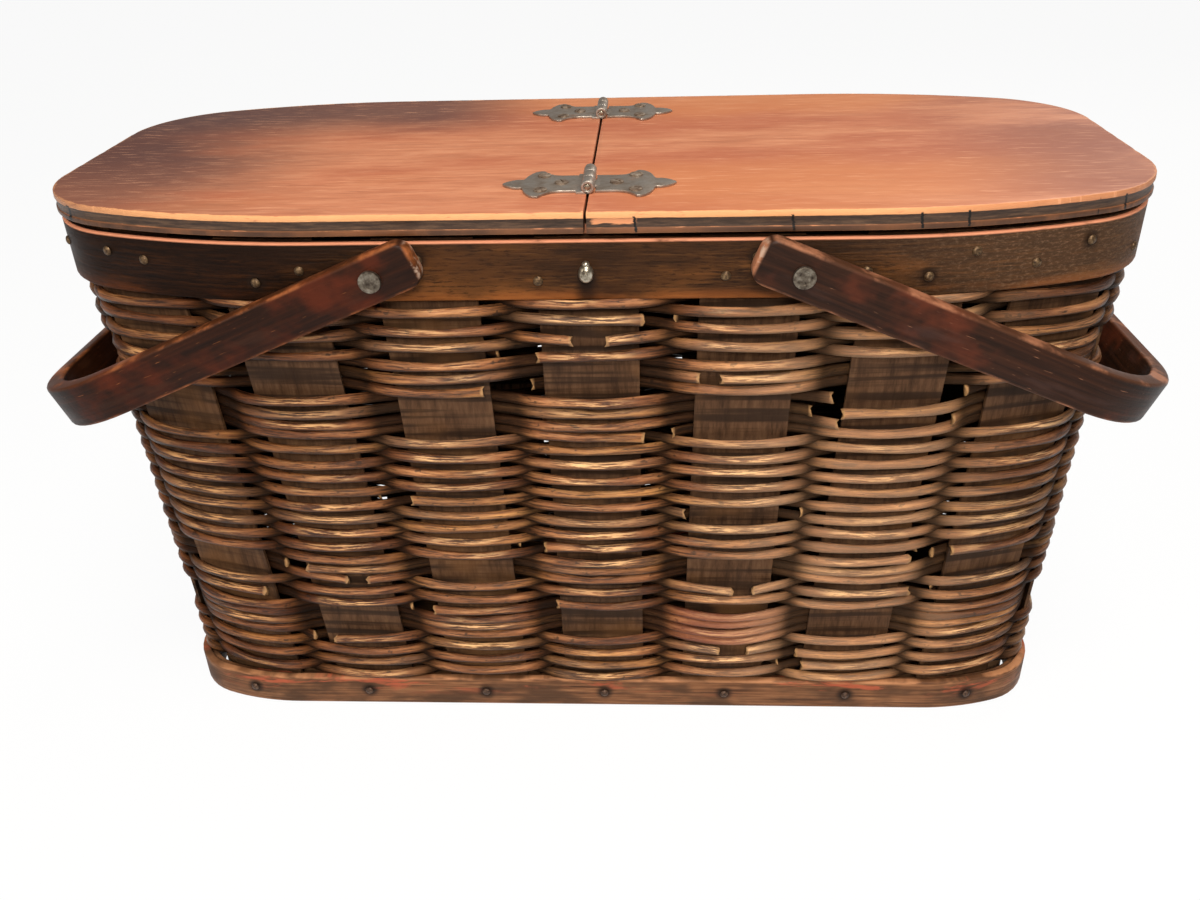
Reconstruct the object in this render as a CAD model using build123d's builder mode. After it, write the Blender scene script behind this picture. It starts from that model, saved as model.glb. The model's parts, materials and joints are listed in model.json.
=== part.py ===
from build123d import *
import os
from dataclasses import dataclass
from math import cos, pi, radians, sin, tan

os.makedirs("parts", exist_ok=True)

# Picnic basket of upright wooden splints woven round with reed, under a plywood lid in two
# halves, with two bentwood bail handles. Millimetres, Z up, X along the length, origin at
# the middle of the underside.

# Outside of the base band, an upright hoop round the feet of the splints
base_half_length = 244
base_half_depth = 80
base_side_radius = 128
base_end_radius = 34

# Outside of the rim band, an upright hoop round their heads
rim_half_length = 253
rim_half_depth = 107.5
rim_side_radius = 294
rim_end_radius = 54
rim_height = 287
end_turn = 70

# Wall layers, from the outside in
band_thick = 4.6
splint_thick = 1.6
inner_band_thick = 4
layer_gap = 0.2

# Bands, board and splints
base_band_height = 19
rim_band_height = 27
splint_count = 18
splint_width = 44
splint_foot = 1
board_thick = 8
board_foot = 3

# Weave
course_count = 15
course_gap = 0.5
reed_thick = 5
reed_gap = 0.3
turn_margin = 1.5

# Lid
lid_overhang = 1
lid_thick = 9
lid_edge = 0.8
lid_shadow_gap = 3
lid_seat_gap = 0.3
seam_gap = 1.2
cleat_place = 150
cleat_width = 24
cleat_thick = 6
cleat_half_length = 76
bar_width = 24
bar_depth = 20

# Butterfly hinges
hinge_place = 69
leaf_thick = 1.2
leaf_reach = 39
leaf_neck = 14
leaf_shoulder = 22.5
leaf_waist = 31
leaf_neck_half = 13.5
leaf_shoulder_half = 22.5
leaf_waist_half = 5.8
barrel_radius = 2.9
barrel_gap = 0.1
barrel_length = 28
knuckle_gap = 0.3
hinge_pin_radius = 1.35
hinge_pin_gap = 0.15

# Handles
pivot_place = 90.5
pivot_drop = 13
handle_rest = 23
handle_width = 21
handle_thick = 9
handle_side_gap = 1.5
handle_tail = 21
handle_end_radius = 7
handle_bend_radius = 52
grip_gap = 0.6
rivet_radius = 2.9
rivet_bore_gap = 0.3
rivet_head_radius = 4.8
rivet_head_thick = 1.8
rivet_tail_radius = 4.4
rivet_tail_thick = 1.2
spacer_radius = 6.5

# Nails and studs
nail_radius = 2.2
nail_thick = 1
nail_sides = 6
shank_sides = 12
base_nail_height = 10
rim_nail_low = 9
rim_nail_high = 19
stud_drop = 13.5
stud_radius = 4.2
stud_neck = 2.6
stud_crown = 2.4
stud_band = 2.6
stud_length = 6.8
stud_shank_radius = 2
stud_shank_depth = 14

# Places that follow from the sizes above
base_plan = (base_half_length, base_half_depth, base_side_radius, base_end_radius)
rim_plan = (rim_half_length, rim_half_depth, rim_side_radius, rim_end_radius)
splint_outer = band_thick + layer_gap
splint_inner = splint_outer + splint_thick
splint_reach = splint_width / 2 + turn_margin
rim_foot = rim_height - rim_band_height
splint_top = rim_height - layer_gap
lid_bottom = rim_height + lid_shadow_gap
lid_top = lid_bottom + lid_thick
seat_height = lid_bottom - lid_seat_gap
hinge_height = lid_top + barrel_gap + barrel_radius
pivot_height = rim_height - pivot_drop
stud_height = rim_height - stud_drop
lid_half_length = rim_half_length + lid_overhang
lid_half_depth = rim_half_depth + lid_overhang
handle_inner = lid_half_depth + handle_side_gap
handle_outer = handle_inner + handle_thick
strap_middle = handle_inner + handle_thick / 2
rivet_bore = rivet_radius + rivet_bore_gap
through_length = 3 * handle_outer


def set_in(plan, inset):
    """A hoop's plan, moved in from its outside."""
    return [size - inset for size in plan]


def corner_centres(half_length, half_depth, side_radius, end_radius):
    """Centres of the wide and the tight arc that turn each corner of a plan."""
    run = side_radius - end_radius
    end_half = half_depth - side_radius + run * sin(radians(end_turn))
    tight_centre = (half_length - end_radius, end_half)
    wide_centre = (tight_centre[0] - run * cos(radians(end_turn)), half_depth - side_radius)
    return wide_centre, tight_centre


def plan_face(z, plan, inset):
    """Plan with straight sides, short straight ends and two arcs at each corner."""
    half_length, half_depth, side_radius, end_radius = set_in(plan, inset)
    wide_centre, tight_centre = corner_centres(half_length, half_depth, side_radius, end_radius)
    with BuildSketch(Plane.XY.offset(z)) as face:
        with BuildLine():
            Line((half_length, 0), (half_length, tight_centre[1]))
            CenterArc(tight_centre, end_radius, 0, end_turn)
            CenterArc(wide_centre, side_radius, end_turn, 90 - end_turn)
            Line((wide_centre[0], half_depth), (0, half_depth))
            mirror(about=Plane.YZ)
            mirror(about=Plane.XZ)
        make_face()
    return face.sketch


def wall_station(plan, share, inset):
    """Point, way out and length round, at a share of the way round from the front middle."""
    half_length, half_depth, side_radius, end_radius = set_in(plan, inset)
    wide_centre, tight_centre = corner_centres(half_length, half_depth, side_radius, end_radius)
    wide_run = wide_centre[0] + side_radius * radians(90 - end_turn)
    tight_run = wide_run + end_radius * radians(end_turn)
    quarter_run = tight_run + tight_centre[1]
    quarter = int(share % 1 * 4)
    along = share % 1 * 4 - quarter
    if quarter % 2:
        along = 1 - along
    run = along * quarter_run
    if run < wide_centre[0]:
        angle = 0
        point = (run, half_depth)
    elif run < wide_run:
        angle = (run - wide_centre[0]) / side_radius
        point = (wide_centre[0] + side_radius * sin(angle), wide_centre[1] + side_radius * cos(angle))
    elif run < tight_run:
        angle = radians(90 - end_turn) + (run - wide_run) / end_radius
        point = (tight_centre[0] + end_radius * sin(angle), tight_centre[1] + end_radius * cos(angle))
    else:
        angle = pi / 2
        point = (half_length, quarter_run - run)
    flip_x = 1 if quarter < 2 else -1
    flip_y = -1 if quarter in (0, 3) else 1
    outward = Vector(flip_x * sin(angle), flip_y * cos(angle))
    return Vector(flip_x * point[0], flip_y * point[1]), outward, 4 * quarter_run


def nail_plane(plan, share, height):
    """Plane just off the outside of a hoop, facing outwards."""
    point, outward, _ = wall_station(plan, share, -layer_gap)
    return Plane(origin=point + Vector(0, 0, height), x_dir=Vector(0, 0, 1).cross(outward), z_dir=outward)


@dataclass
class Seat:
    """Stand of one flat splint: the way it faces, and its face's place at foot and head."""

    outward: Vector
    along: Vector
    foot_out: float
    foot_along: float
    head_out: float
    head_along: float

    def reed_corners(self, foot, top, over, depth):
        """Two corners of a reed that passes this splint, at a depth from the reed's near side."""
        rise = rim_foot - base_band_height
        low = (foot - base_band_height) / rise
        high = (top - base_band_height) / rise
        low_face = self.foot_out + (self.head_out - self.foot_out) * low
        high_face = self.foot_out + (self.head_out - self.foot_out) * high
        low_middle = self.foot_along + (self.head_along - self.foot_along) * low
        high_middle = self.foot_along + (self.head_along - self.foot_along) * high
        if over:
            out = max(low_face, high_face) + reed_gap + depth
        else:
            out = min(low_face, high_face) - splint_thick - reed_gap - depth
        before = min(low_middle, high_middle) - splint_reach
        after = max(low_middle, high_middle) + splint_reach
        corners = [self.outward * out + self.along * aside for aside in (before, after)]
        return [(corner.X, corner.Y) for corner in corners]


def splint_seat(number):
    """Lay one flat splint as a chord inside the base hoop and the rim hoop."""
    ends = []
    for plan in (base_plan, rim_plan):
        share = number / splint_count
        reach_share = splint_reach / wall_station(plan, share, splint_outer)[2]
        before = wall_station(plan, share - reach_share, splint_outer)[0]
        after = wall_station(plan, share + reach_share, splint_outer)[0]
        ends.append((before, after))
    along = (ends[0][1] - ends[0][0] + ends[1][1] - ends[1][0]).normalized()
    outward = along.cross(Vector(0, 0, 1))
    outs = [min(end.dot(outward) for end in pair) for pair in ends]
    asides = [(pair[0] + pair[1]).dot(along) / 2 for pair in ends]
    return Seat(outward, along, outs[0], asides[0], outs[1], asides[1])


def clear_inset(plan, outs):
    """Inset at which a hoop clears the flat splints outside it, found in a few passes."""
    inset = splint_inner
    for _ in range(3):
        behind = 0
        reach_share = splint_reach / wall_station(plan, 0, inset)[2]
        for number, seat in enumerate(seats):
            for aside in (-1, -0.5, 0, 0.5, 1):
                share = number / splint_count + aside * reach_share
                point = wall_station(plan, share, inset)[0]
                behind = max(behind, point.dot(seat.outward) - outs[number] + splint_thick)
        inset += behind
    return inset + layer_gap


seats = [splint_seat(number) for number in range(splint_count)]
board_inset = clear_inset(base_plan, [seat.foot_out for seat in seats])
inner_band_outer = clear_inset(rim_plan, [seat.head_out for seat in seats])
inner_band_inner = inner_band_outer + inner_band_thick
rim_inside = rim_half_depth - inner_band_inner


def save(part, name):
    part.label = name
    export_step(part, f"parts/{name}.step")


# Holes that the pivot rivets and the two studs take through the wall; they are hidden, and
# they and the shanks in them are drawn twelve-sided to keep their faces few
with BuildPart() as wall_holes:
    with BuildSketch(Plane.XZ):
        with Locations((-pivot_place, pivot_height), (pivot_place, pivot_height)):
            RegularPolygon(rivet_bore, shank_sides, major_radius=False)
        with Locations((0, stud_height)):
            RegularPolygon(stud_shank_radius + layer_gap, shank_sides, major_radius=False)
    extrude(amount=through_length, both=True)

# Base board, let in between the splints
with BuildPart() as base_board:
    add(plan_face(board_foot, base_plan, board_inset))
    extrude(amount=board_thick)
save(base_board.part, "base_board")

# Base band, a steamed hoop round the feet of the splints
with BuildPart() as base_band:
    add(plan_face(0, base_plan, 0) - plan_face(0, base_plan, band_thick))
    extrude(amount=base_band_height)
save(base_band.part, "base_band")

# Outer rim band
with BuildPart() as rim_band_outer:
    add(plan_face(rim_foot, rim_plan, 0) - plan_face(rim_foot, rim_plan, band_thick))
    extrude(amount=rim_band_height)
    add(wall_holes.part, mode=Mode.SUBTRACT)
save(rim_band_outer.part, "rim_band_outer")

# Inner rim band, which stands higher and carries the lid
with BuildPart() as rim_band_inner:
    add(
        plan_face(rim_foot, rim_plan, inner_band_outer)
        - plan_face(rim_foot, rim_plan, inner_band_inner)
    )
    extrude(amount=seat_height - rim_foot)
    add(wall_holes.part, mode=Mode.SUBTRACT)
save(rim_band_inner.part, "rim_band_inner")

# Splints: flat strips, bent where they leave the base band and where they enter the rim
for number, seat in enumerate(seats):
    facing = Plane(origin=(0, 0, 0), x_dir=seat.along, z_dir=seat.outward)
    edge_on = Plane(origin=(0, 0, 0), x_dir=seat.outward, z_dir=-seat.along)
    with BuildPart() as splint:
        with BuildSketch(edge_on):
            Polygon(
                (seat.foot_out, splint_foot),
                (seat.foot_out, base_band_height),
                (seat.head_out, rim_foot),
                (seat.head_out, splint_top),
                (seat.head_out - splint_thick, splint_top),
                (seat.head_out - splint_thick, rim_foot),
                (seat.foot_out - splint_thick, base_band_height),
                (seat.foot_out - splint_thick, splint_foot),
                align=None,
            )
        extrude(amount=rim_half_length, both=True)
        with BuildSketch(facing):
            Polygon(
                (seat.foot_along - splint_width / 2, splint_foot),
                (seat.foot_along + splint_width / 2, splint_foot),
                (seat.foot_along + splint_width / 2, base_band_height),
                (seat.head_along + splint_width / 2, rim_foot),
                (seat.head_along + splint_width / 2, splint_top),
                (seat.head_along - splint_width / 2, splint_top),
                (seat.head_along - splint_width / 2, rim_foot),
                (seat.foot_along - splint_width / 2, base_band_height),
                align=None,
            )
        extrude(amount=2 * rim_half_length, mode=Mode.INTERSECT)
        add(wall_holes.part, mode=Mode.SUBTRACT)
    save(splint.part, f"splint_{number + 1:02d}")

# Weave: courses of reed that pass over and under the splints by turns
course_pitch = (rim_foot - base_band_height) / course_count


def reed_ring(foot, top, course, inside):
    """Corner points of one course, which goes out over every other splint and in behind the rest."""
    points = []
    for number, seat in enumerate(seats):
        over = (number + course) % 2 == 0
        depth = 0 if over == inside else reed_thick
        points.extend(seat.reed_corners(foot, top, over, depth))
    return points


courses = []
for course in range(course_count):
    foot = base_band_height + course * course_pitch + course_gap / 2
    top = foot + course_pitch - course_gap
    with BuildPart() as reed:
        with BuildSketch(Plane.XY.offset(foot)):
            Polygon(*reed_ring(foot, top, course, inside=False), align=None)
            Polygon(*reed_ring(foot, top, course, inside=True), align=None, mode=Mode.SUBTRACT)
        extrude(amount=top - foot)
    courses.append(reed.part.solid())

zone_names = ("weave_lower", "weave_middle", "weave_upper")
for zone, zone_name in enumerate(zone_names):
    first = zone * course_count // len(zone_names)
    last = (zone + 1) * course_count // len(zone_names)
    save(Compound(children=courses[first:last]), zone_name)

# Nails: one through the base band and one through the rim band at each splint
with BuildPart() as base_nails:
    for number in range(splint_count):
        with BuildSketch(nail_plane(base_plan, number / splint_count, base_nail_height)):
            RegularPolygon(nail_radius, nail_sides)
    extrude(amount=nail_thick)
save(base_nails.part, "base_nails")

with BuildPart() as rim_nails:
    for number in range(splint_count):
        if number % (splint_count // 2):
            height = rim_foot + (rim_nail_high if number % 2 else rim_nail_low)
            with BuildSketch(nail_plane(rim_plan, number / splint_count, height)):
                RegularPolygon(nail_radius, nail_sides)
    extrude(amount=nail_thick)
save(rim_nails.part, "rim_nails")

# Centre bar under the seam of the lid, held by a ball-headed stud at each end
bar_half = rim_inside - layer_gap
with BuildPart() as centre_bar:
    with Locations((0, 0, seat_height)):
        Box(bar_width, 2 * bar_half, bar_depth, align=(Align.CENTER, Align.CENTER, Align.MAX))
    add(wall_holes.part, mode=Mode.SUBTRACT)
save(centre_bar.part, "centre_bar")

stud_seat = rim_half_depth + layer_gap
stud_inner = bar_half - stud_shank_depth
with BuildPart() as bar_studs:
    for out, radius in (
        (0, stud_neck),
        (stud_length / 2 - stud_band / 2, stud_radius),
        (stud_length / 2 + stud_band / 2, stud_radius),
        (stud_length, stud_crown),
    ):
        with BuildSketch(Plane.XZ.offset(-stud_seat - out)):
            with Locations((0, stud_height)):
                RegularPolygon(radius, shank_sides)
    loft(ruled=True)
    with BuildSketch(Plane.XZ.offset(-stud_seat)):
        with Locations((0, stud_height)):
            RegularPolygon(stud_shank_radius, shank_sides)
    extrude(amount=stud_seat - stud_inner)
    mirror(about=Plane.XZ)
save(bar_studs.part, "bar_studs")

# Lid halves with a batten under each
for side, side_name in ((-1, "left"), (1, "right")):
    with BuildPart() as lid_board:
        add(plan_face(lid_bottom, rim_plan, -lid_overhang))
        extrude(amount=lid_thick)
        with Locations((side * (seam_gap / 2 - lid_half_length), 0, lid_bottom)):
            Box(2 * lid_half_length, 2 * lid_half_length, through_length, mode=Mode.SUBTRACT)
        chamfer(lid_board.faces().sort_by(Axis.Z)[-1].outer_wire().edges(), lid_edge)
    save(lid_board.part, f"{side_name}_lid_board")
    with BuildPart() as cleat:
        with Locations((side * cleat_place, 0, lid_bottom - layer_gap)):
            Box(
                cleat_width, 2 * cleat_half_length, cleat_thick,
                align=(Align.CENTER, Align.CENTER, Align.MAX),
            )
    save(cleat.part, f"{side_name}_lid_cleat")

# Butterfly hinges: the left leaf has the outer knuckles and the right leaf the middle one.
# Barrel and pin are small, and drawn twelve-sided too
knuckle = (barrel_length - 2 * knuckle_gap) / 3
knuckle_step = knuckle + knuckle_gap
leaf_clear = barrel_radius + knuckle_gap
for side, side_name in ((-1, "left"), (1, "right")):
    steps = (-knuckle_step, knuckle_step) if side < 0 else (0,)
    for place, place_name in ((-hinge_place, "front"), (hinge_place, "rear")):
        with BuildPart() as leaf:
            with BuildSketch(Plane.XY.offset(lid_top)):
                with BuildLine():
                    Line((leaf_clear, 0), (leaf_clear, leaf_neck_half))
                    Line((leaf_clear, leaf_neck_half), (leaf_neck, leaf_neck_half))
                    RadiusArc((leaf_neck, leaf_neck_half), (leaf_shoulder, leaf_shoulder_half), -leaf_neck)
                    RadiusArc(
                        (leaf_shoulder, leaf_shoulder_half), (leaf_waist, leaf_waist_half), -leaf_shoulder
                    )
                    Line((leaf_waist, leaf_waist_half), (leaf_reach, 0))
                    mirror(about=Plane.XZ)
                make_face()
            extrude(amount=leaf_thick)
            for step in steps:
                with BuildSketch(Plane.XZ.offset(-step)):
                    with Locations((0, hinge_height)):
                        RegularPolygon(barrel_radius, shank_sides)
                extrude(amount=knuckle / 2, both=True)
                with Locations((0, step, lid_top)):
                    Box(leaf_neck, knuckle, leaf_thick, align=(Align.MIN, Align.CENTER, Align.MIN))
            with BuildSketch(Plane.XZ):
                with Locations((0, hinge_height)):
                    RegularPolygon(hinge_pin_radius + hinge_pin_gap, shank_sides, major_radius=False)
            extrude(amount=barrel_length, both=True, mode=Mode.SUBTRACT)
        turned = leaf.part if side > 0 else leaf.part.mirror(Plane.YZ)
        save(turned.moved(Location((0, place, 0))), f"{side_name}_hinge_leaf_{place_name}")

for place, place_name in ((-hinge_place, "front"), (hinge_place, "rear")):
    with BuildPart() as hinge_pin:
        with BuildSketch(Plane.XZ.offset(-place)):
            with Locations((0, hinge_height)):
                RegularPolygon(hinge_pin_radius, shank_sides)
        extrude(amount=barrel_length / 2, both=True)
    save(hinge_pin.part, f"hinge_pin_{place_name}")

# Bail handles: a strap of ash bent round each end of the basket, riveted to the rim, that
# hangs down against the end wall
rest_slope = radians(handle_rest)
grip_height = pivot_height - (rim_half_length - pivot_place) * tan(rest_slope)
wall_lean = (rim_half_length - base_half_length) / (rim_foot - base_band_height)
wall_reach = rim_half_length - (rim_foot - grip_height) * wall_lean + reed_thick - splint_outer
grip_inner = wall_reach + grip_gap + handle_width / 2 * sin(rest_slope)
grip_reach = (grip_inner - pivot_place) / cos(rest_slope)
for side, side_name in ((-1, "left"), (1, "right")):
    arm_plane = Plane(
        origin=(side * pivot_place, 0, pivot_height),
        x_dir=(side * cos(rest_slope), 0, -sin(rest_slope)),
        z_dir=(sin(rest_slope), 0, side * cos(rest_slope)),
    )
    with BuildPart() as handle:
        with BuildSketch(arm_plane):
            with BuildLine():
                FilletPolyline(
                    (-handle_tail, -strap_middle),
                    (grip_reach + handle_thick / 2, -strap_middle),
                    (grip_reach + handle_thick / 2, strap_middle),
                    (-handle_tail, strap_middle),
                    radius=handle_bend_radius - handle_thick / 2,
                )
            trace(line_width=handle_thick)
        extrude(amount=handle_width / 2, both=True)
        along_arm = Axis(arm_plane.origin, arm_plane.x_dir)
        fillet(handle.edges().filter_by(Axis.Y).group_by(along_arm)[0], handle_end_radius)
        with Locations(Plane.XZ * Location((side * pivot_place, pivot_height, 0))):
            Cylinder(rivet_bore, through_length, mode=Mode.SUBTRACT)
    save(handle.part, f"{side_name}_handle_bow")

# Pivot rivets and the spacers between rim and handle
rivet_inner = rim_inside - layer_gap
rivet_seat = handle_outer + layer_gap
spacer_inner = rim_half_depth + layer_gap
with BuildPart() as handle_rivets:
    with BuildSketch(Plane.XZ.offset(-rivet_seat)):
        with Locations((pivot_place, pivot_height)):
            Circle(rivet_head_radius)
    extrude(amount=-rivet_head_thick)
    with BuildSketch(Plane.XZ.offset(-rivet_seat)):
        with Locations((pivot_place, pivot_height)):
            RegularPolygon(rivet_radius, shank_sides)
    extrude(amount=rivet_seat - rivet_inner)
    with BuildSketch(Plane.XZ.offset(-rivet_inner)):
        with Locations((pivot_place, pivot_height)):
            RegularPolygon(rivet_tail_radius, shank_sides)
    extrude(amount=rivet_tail_thick)
    mirror(about=Plane.XZ)
    mirror(about=Plane.YZ)
save(handle_rivets.part, "handle_rivets")

with BuildPart() as pivot_spacers:
    with BuildSketch(Plane.XZ.offset(-spacer_inner)):
        with Locations((-pivot_place, pivot_height), (pivot_place, pivot_height)):
            RegularPolygon(spacer_radius, shank_sides)
            RegularPolygon(rivet_bore, shank_sides, major_radius=False, mode=Mode.SUBTRACT)
    extrude(amount=-(handle_inner - layer_gap - spacer_inner))
    mirror(about=Plane.XZ)
save(pivot_spacers.part, "pivot_spacers")
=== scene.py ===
import json
from math import cos, pi, radians, sin

import bpy
import numpy as np
from mathutils import Matrix, Vector

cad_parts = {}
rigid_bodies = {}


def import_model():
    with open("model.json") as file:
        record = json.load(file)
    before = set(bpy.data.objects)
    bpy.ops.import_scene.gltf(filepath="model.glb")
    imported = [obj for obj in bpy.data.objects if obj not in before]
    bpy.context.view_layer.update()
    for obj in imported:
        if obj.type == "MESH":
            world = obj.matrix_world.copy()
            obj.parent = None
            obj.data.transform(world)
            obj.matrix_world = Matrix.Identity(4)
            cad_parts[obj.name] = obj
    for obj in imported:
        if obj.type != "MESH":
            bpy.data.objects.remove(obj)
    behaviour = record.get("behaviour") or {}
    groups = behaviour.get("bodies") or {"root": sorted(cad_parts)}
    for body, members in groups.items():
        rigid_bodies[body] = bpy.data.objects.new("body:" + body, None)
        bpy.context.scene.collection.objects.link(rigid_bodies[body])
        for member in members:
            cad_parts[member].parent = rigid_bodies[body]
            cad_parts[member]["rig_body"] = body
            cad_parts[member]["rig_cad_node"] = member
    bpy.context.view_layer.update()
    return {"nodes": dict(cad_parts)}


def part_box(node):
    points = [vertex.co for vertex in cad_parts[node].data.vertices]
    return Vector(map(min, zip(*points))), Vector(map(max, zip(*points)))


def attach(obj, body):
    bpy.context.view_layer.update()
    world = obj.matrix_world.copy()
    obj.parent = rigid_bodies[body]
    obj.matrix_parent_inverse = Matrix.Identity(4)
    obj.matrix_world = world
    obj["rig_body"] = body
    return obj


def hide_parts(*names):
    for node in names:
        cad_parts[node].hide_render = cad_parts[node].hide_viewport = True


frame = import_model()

# Viewpoint: a hand-held photograph, taken from just in front of the basket and well above it,
# looking down on the lid. The plate it is fitted to is 1200 wide and 900 high
eye = Vector((0.02935, -0.54196, 0.43694))
yaw, pitch, roll = -0.05972, 0.52428, 0.03143
forward = Vector((sin(yaw) * cos(pitch), cos(yaw) * cos(pitch), -sin(pitch)))
level = Vector((cos(yaw), -sin(yaw), 0))
below = forward.cross(level)
across_view = level * cos(roll) + below * sin(roll)
down_view = below * cos(roll) - level * sin(roll)
bpy.ops.object.camera_add()
viewpoint = bpy.context.object
viewpoint.data.sensor_width = 36
viewpoint.data.lens = 32.362
viewpoint.data.clip_start = 0.01
viewpoint.matrix_world = (
    Matrix.Translation(eye) @ Matrix((across_view, -down_view, -forward)).transposed().to_4x4()
)
bpy.context.scene.camera = viewpoint
bpy.context.scene.view_settings.view_transform = "Standard"


# Floor and lamps: a pale sheet that the basket stands on, soft lamps overhead and in front,
# a weaker one on the left and one behind
def new_material(name):
    """An empty material, whose tree is the one that the next nodes go into."""
    global tree
    material = bpy.data.materials.new(name)
    material.use_nodes = True
    tree = material.node_tree
    tree.nodes.clear()
    return material


def fill(socket, value):
    """Join another node's output to a socket, or set the socket itself."""
    if isinstance(value, bpy.types.NodeSocket):
        tree.links.new(value, socket)
    else:
        socket.default_value = value


def add_node(kind, settings=None, **inputs):
    """One shader node, with its settings, and its sockets filled by name or as i0, i1, i2."""
    made = tree.nodes.new("ShaderNode" + kind)
    for name, value in (settings or {}).items():
        setattr(made, name, value)
    for name, value in inputs.items():
        fill(made.inputs[int(name[1:]) if name[1:].isdigit() else name], value)
    return made


def sum_of(operation, *values):
    """One sum, as a socket."""
    made = add_node("Math", {"operation": operation})
    for socket, value in zip(made.inputs, values):
        fill(socket, value)
    return made.outputs[0]


def times(first, *others):
    for other in others:
        first = sum_of("MULTIPLY", first, other)
    return first


def plus(first, second):
    return sum_of("ADD", first, second)


def leave_edit():
    bpy.ops.object.mode_set(mode="OBJECT")


def start_fresh():
    """Nothing selected and nothing being edited, so that an operator acts on one piece."""
    if bpy.context.object and bpy.context.object.mode != "OBJECT":
        leave_edit()
    bpy.ops.object.select_all(action="DESELECT")


def begin(name, add, **sizes):
    """Add the primitive that a piece is shaped from."""
    start_fresh()
    add(**sizes)
    bpy.context.object.name = name
    return bpy.context.object


floor = begin(
    "floor", bpy.ops.mesh.primitive_grid_add, x_subdivisions=2, y_subdivisions=2, size=9,
    location=(0, 1, -0.0004),
)
floor_paint = new_material("floor_paint")
rays = add_node("LightPath").outputs
seen = add_node(
    "Math", {"operation": "ADD", "use_clamp": True},
    i0=plus(rays["Is Camera Ray"], rays["Is Glossy Ray"]), i1=rays["Is Transmission Ray"],
)
floor_whiteness = 0.93
matt = add_node("BsdfDiffuse", Color=(0.86, 0.86, 0.85, 1))
white = add_node("Emission", Color=(1, 1, 1, 1), Strength=1)
both = add_node(
    "MixShader", i0=times(seen.outputs[0], floor_whiteness), i1=matt.outputs[0],
    i2=white.outputs[0],
)
add_node("OutputMaterial", Surface=both.outputs[0])
floor.data.materials.append(floor_paint)

room = bpy.data.worlds.new("room")
bpy.context.scene.world = room
room.use_nodes = True
tree = room.node_tree
tree.nodes.clear()
dim = add_node("Background", Color=(1, 0.985, 0.96, 1), Strength=0.22)
bright = add_node("Background", Color=(1, 1, 1, 1), Strength=1)
both = add_node(
    "MixShader", i0=add_node("LightPath").outputs["Is Camera Ray"], i1=dim.outputs[0],
    i2=bright.outputs[0],
)
add_node("OutputWorld", Surface=both.outputs[0])

for name, place, size, power in (
    ("lamp_over", (0.15, -0.5, 1.4), 0.5, 14),
    ("lamp_front", (0.1, -1.3, 0.98), 0.3, 13),
    ("lamp_left", (-1.15, -0.95, 0.85), 0.4, 5),
    ("lamp_behind", (0.9, 1.1, 1.2), 0.7, 7),
):
    bpy.ops.object.light_add(type="AREA", location=place)
    lamp = bpy.context.object
    lamp.name = name
    lamp.data.size = size
    lamp.data.energy = power
    lamp.data.color = (1, 0.95, 0.88)
    aim = Vector((0, 0, 0.15)) - Vector(place)
    lamp.rotation_euler = aim.to_track_quat("-Z", "Y").to_euler()


# Base band: a steamed hoop of ash bent round the feet of the splints and nailed to them and
# to the board. It was painted red once, and traces are left in its varnish. Behind it a
# thinner hoop stands for the raised edge of the board
base_plan = (0.244, 0.080, 0.128, 0.034)
base_band_height = 0.019
band_thick = 0.0046
end_turn = radians(70)
hoop_sides = 240
traced_points = 720


def hoop_point(plan, share, outside=0):
    """Point, way out and length round of a hoop's plan, by share from its front middle."""
    half_length, half_depth, side_radius, end_radius = [size + outside for size in plan]
    run = side_radius - end_radius
    tight = (half_length - end_radius, half_depth - side_radius + run * sin(end_turn))
    wide = (tight[0] - run * cos(end_turn), half_depth - side_radius)
    wide_run = wide[0] + side_radius * (pi / 2 - end_turn)
    tight_run = wide_run + end_radius * end_turn
    quarter_run = tight_run + tight[1]
    quarter = int(share % 1 * 4)
    along = share % 1 * 4 - quarter
    at = quarter_run * (1 - along if quarter % 2 else along)
    if at < wide[0]:
        angle, point = 0, (at, half_depth)
    elif at < wide_run:
        angle = (at - wide[0]) / side_radius
        point = (wide[0] + side_radius * sin(angle), wide[1] + side_radius * cos(angle))
    elif at < tight_run:
        angle = pi / 2 - end_turn + (at - wide_run) / end_radius
        point = (tight[0] + end_radius * sin(angle), tight[1] + end_radius * cos(angle))
    else:
        angle, point = pi / 2, (half_length, quarter_run - at)
    flip_x = 1 if quarter < 2 else -1
    flip_y = -1 if quarter in (0, 3) else 1
    outward = Vector((flip_x * sin(angle), flip_y * cos(angle), 0))
    return Vector((flip_x * point[0], flip_y * point[1], 0)), outward, 4 * quarter_run


def take(piece):
    """Select one piece and nothing else."""
    start_fresh()
    piece.select_set(True)
    bpy.context.view_layer.objects.active = piece


def edit_all():
    """Go into the piece, with all of it selected."""
    bpy.ops.object.mode_set(mode="EDIT")
    bpy.ops.mesh.select_all(action="SELECT")


def edit_faces(piece, wanted):
    """Go into the piece, with only the wanted faces selected."""
    edit_all()
    bpy.ops.mesh.select_all(action="DESELECT")
    leave_edit()
    for face in piece.data.polygons:
        face.select = wanted(face)
    bpy.ops.object.mode_set(mode="EDIT")
    bpy.ops.mesh.select_mode(type="FACE")


def draw_out(x, y, z):
    """Extrude what is selected by a step."""
    bpy.ops.mesh.extrude_region_move(TRANSFORM_OT_translate={"value": (x, y, z)})


def turn_faces_out():
    bpy.ops.mesh.select_all(action="SELECT")
    bpy.ops.mesh.normals_make_consistent(inside=False)
    leave_edit()


def apply_modifier(piece, kind, **settings):
    """Put one modifier on a piece and apply it."""
    bpy.context.view_layer.objects.active = piece
    modifier = piece.modifiers.new(kind.lower(), kind)
    for name, value in settings.items():
        setattr(modifier, name, value)
    bpy.ops.object.modifier_apply(modifier=modifier.name)


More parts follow.
